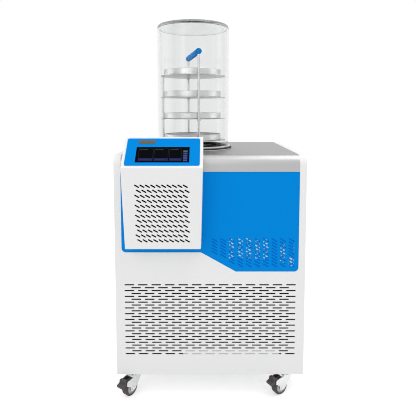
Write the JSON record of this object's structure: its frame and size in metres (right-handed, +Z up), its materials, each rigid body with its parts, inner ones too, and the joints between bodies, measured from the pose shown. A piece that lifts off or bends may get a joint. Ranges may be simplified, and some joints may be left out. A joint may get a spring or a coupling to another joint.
{
  "type": "freeze dryer",
  "caption": "Bench-side freeze dryer on braked casters: clear drying chamber with a tray rack over a steel top, leaning control housing, cold trap and compressor inside.",
  "frame": {"origin": "on the floor, under the middle of the whole machine's box", "axes": "+Z up, the front faces -Y, +X to the right of the person who faces it"},
  "size_m": [0.58, 0.6549, 1.182],
  "materials": {
    "white_paint": "satin powder coat",
    "housing_plastic": "fine moulded texture",
    "blue_paint": "satin powder coat",
    "blue_fascia": "satin film",
    "blue_plastic": "moulded, satin",
    "brushed_stainless": "brushed",
    "satin_rod": "drawn, bright",
    "satin_sheet": "satin rolled",
    "zinc_plate": "bright zinc plated",
    "display_glass": "glossy black",
    "circuit_board": "solder mask",
    "badge_metal": "anodised grey-brown",
    "clear_acrylic": "clear, polished",
    "black_rubber": "moulded",
    "copper": "drawn copper",
    "foam": "cut foam",
    "black_enamel": "gloss enamel",
    "condenser_fins": "mill finish",
    "black_plastic": "moulded",
    "nickel_brass": "nickel plated",
    "lever_paint": "dipped",
    "hub_plastic": "moulded",
    "tyre_rubber": "moulded",
    "pedal_plastic": "moulded"
  },
  "bodies": {
    "root": {"left_side_panel": "white_paint", "right_side_panel": "white_paint", "top_cover": "brushed_stainless", "base_pan": "zinc_plate", "rear_panel": "white_paint", "cabinet_screws": "zinc_plate", "lower_front_panel": "white_paint", "upper_front_panel": "blue_paint", "vent_backing": "blue_paint", "power_supply": "zinc_plate", "control_housing": "housing_plastic", "control_fascia": "blue_fascia", "touch_screen": "display_glass", "control_board": "circuit_board", "badge_plate": "badge_metal", "chamber_tube": "clear_acrylic", "chamber_cap": "clear_acrylic", "chamber_gasket": "black_rubber", "cold_trap_well": "brushed_stainless", "evaporator_coil": "copper", "trap_insulation": "foam", "rack_frame": "satin_rod", "rack_shelves": "satin_sheet", "rack_handle": "blue_plastic", "tray_1": "satin_sheet", "tray_2": "satin_sheet", "tray_3": "satin_sheet", "tray_4": "satin_sheet", "compressor": "black_enamel", "condenser": "condenser_fins", "fan_motor": "zinc_plate", "filter_drier": "copper", "refrigerant_pipes": "copper", "vacuum_port": "brushed_stainless", "drain_valve": "nickel_brass", "power_module": "black_plastic", "caster_bolts": "zinc_plate", "caster_plate_front_left": "zinc_plate", "caster_plate_front_right": "zinc_plate", "caster_plate_rear_left": "zinc_plate", "caster_plate_rear_right": "zinc_plate"},
    "condenser_fan": {"condenser_fan": "black_plastic"},
    "drain_lever": {"drain_valve_lever": "lever_paint"},
    "power_rocker": {"power_rocker": "black_plastic"},
    "caster_front_left": {"caster_fork_front_left": "zinc_plate"},
    "wheel_front_left": {"caster_hub_front_left": "hub_plastic", "caster_tyre_front_left": "tyre_rubber"},
    "pedal_front_left": {"caster_pedal_front_left": "pedal_plastic"},
    "caster_front_right": {"caster_fork_front_right": "zinc_plate"},
    "wheel_front_right": {"caster_hub_front_right": "hub_plastic", "caster_tyre_front_right": "tyre_rubber"},
    "pedal_front_right": {"caster_pedal_front_right": "pedal_plastic"},
    "caster_rear_left": {"caster_fork_rear_left": "zinc_plate"},
    "wheel_rear_left": {"caster_hub_rear_left": "hub_plastic", "caster_tyre_rear_left": "tyre_rubber"},
    "pedal_rear_left": {"caster_pedal_rear_left": "pedal_plastic"},
    "caster_rear_right": {"caster_fork_rear_right": "zinc_plate"},
    "wheel_rear_right": {"caster_hub_rear_right": "hub_plastic", "caster_tyre_rear_right": "tyre_rubber"},
    "pedal_rear_right": {"caster_pedal_rear_right": "pedal_plastic"}
  },
  "joints": [
    {"name": "caster_swivel_front_left", "type": "hinge", "parent": "root", "child": "caster_front_left", "pos_m": [-0.238, -0.2305, 0.06], "axis": [0, 0, 1], "continuous": true},
    {"name": "wheel_roll_front_left", "type": "hinge", "parent": "caster_front_left", "child": "wheel_front_left", "pos_m": [-0.25177, -0.25016, 0.025], "axis": [0.8192, -0.5736, 0], "continuous": true},
    {"name": "pedal_press_front_left", "type": "hinge", "parent": "caster_front_left", "child": "pedal_front_left", "pos_m": [-0.26266, -0.26572, 0.049], "axis": [0.8192, -0.5736, 0], "range_deg": [0, 10]},
    {"name": "caster_swivel_front_right", "type": "hinge", "parent": "root", "child": "caster_front_right", "pos_m": [0.238, -0.2305, 0.06], "axis": [0, 0, 1], "continuous": true},
    {"name": "wheel_roll_front_right", "type": "hinge", "parent": "caster_front_right", "child": "wheel_front_right", "pos_m": [0.21787, -0.24357, 0.025], "axis": [0.5446, -0.8387, 0], "continuous": true},
    {"name": "pedal_press_front_right", "type": "hinge", "parent": "caster_front_right", "child": "pedal_front_right", "pos_m": [0.20194, -0.25392, 0.049], "axis": [0.5446, -0.8387, 0], "range_deg": [0, 10]},
    {"name": "caster_swivel_rear_left", "type": "hinge", "parent": "root", "child": "caster_rear_left", "pos_m": [-0.238, 0.2375, 0.06], "axis": [0, 0, 1], "continuous": true},
    {"name": "wheel_roll_rear_left", "type": "hinge", "parent": "caster_rear_left", "child": "wheel_rear_left", "pos_m": [-0.25177, 0.21784, 0.025], "axis": [0.8192, -0.5736, 0], "continuous": true},
    {"name": "pedal_press_rear_left", "type": "hinge", "parent": "caster_rear_left", "child": "pedal_rear_left", "pos_m": [-0.26266, 0.20228, 0.049], "axis": [0.8192, -0.5736, 0], "range_deg": [0, 10]},
    {"name": "caster_swivel_rear_right", "type": "hinge", "parent": "root", "child": "caster_rear_right", "pos_m": [0.238, 0.2375, 0.06], "axis": [0, 0, 1], "continuous": true},
    {"name": "wheel_roll_rear_right", "type": "hinge", "parent": "caster_rear_right", "child": "wheel_rear_right", "pos_m": [0.21787, 0.22443, 0.025], "axis": [0.5446, -0.8387, 0], "continuous": true},
    {"name": "pedal_press_rear_right", "type": "hinge", "parent": "caster_rear_right", "child": "pedal_rear_right", "pos_m": [0.20194, 0.21408, 0.049], "axis": [0.5446, -0.8387, 0], "range_deg": [0, 10]},
    {"name": "condenser_fan_spin", "type": "hinge", "parent": "root", "child": "condenser_fan", "pos_m": [-0.059, -0.16, 0.2145], "axis": [0, 1, 0], "continuous": true},
    {"name": "drain_lever_turn", "type": "hinge", "parent": "root", "child": "drain_lever", "pos_m": [-0.059, 0.2975, 0.498], "axis": [0, 0, 1], "range_deg": [0, 90]},
    {"name": "power_rocker_tilt", "type": "hinge", "parent": "root", "child": "power_rocker", "pos_m": [0.189, 0.2825, 0.177], "axis": [1, 0, 0], "range_deg": [0, 16]}
  ]
}
